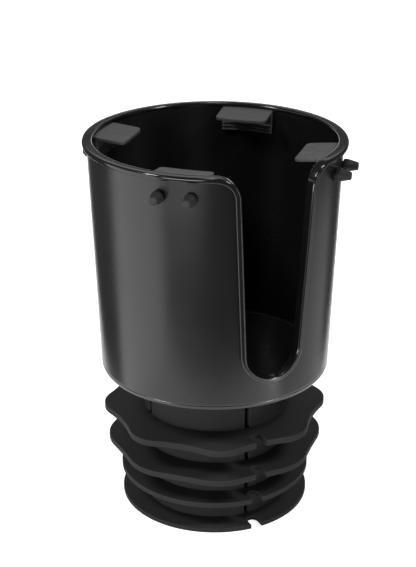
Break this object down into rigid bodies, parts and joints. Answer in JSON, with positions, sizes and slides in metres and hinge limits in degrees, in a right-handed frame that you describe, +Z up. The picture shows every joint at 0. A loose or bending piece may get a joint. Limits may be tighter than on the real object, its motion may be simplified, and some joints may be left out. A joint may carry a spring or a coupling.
{
  "type": "cup holder expander",
  "caption": "Black cup with a slotted wall for mug handles, inward rubber grip tabs and a finned rubber base that wedges into a car cup holder",
  "frame": {"origin": "centre of the underside of the bottom fin, on the axis of the cup, where the part stands on a flat floor", "axes": "+Z runs up the axis of the cup, -Y points out through the middle of the handle slot, +X to the right of someone who looks at the slot"},
  "size_m": [0.1088, 0.1058, 0.1625],
  "materials": {
    "cup_plastic": "black satin moulded plastic",
    "sleeve_rubber": "matt black moulded rubber",
    "tab_rubber": "matt dark grey rubber"
  },
  "bodies": {
    "root": {"cup_body": "cup_plastic", "fin_sleeve": "sleeve_rubber", "grip_tab_front_left": "tab_rubber", "grip_tab_front_right": "tab_rubber", "grip_tab_back_left": "tab_rubber", "grip_tab_back_right": "tab_rubber"}
  },
  "joints": []
}
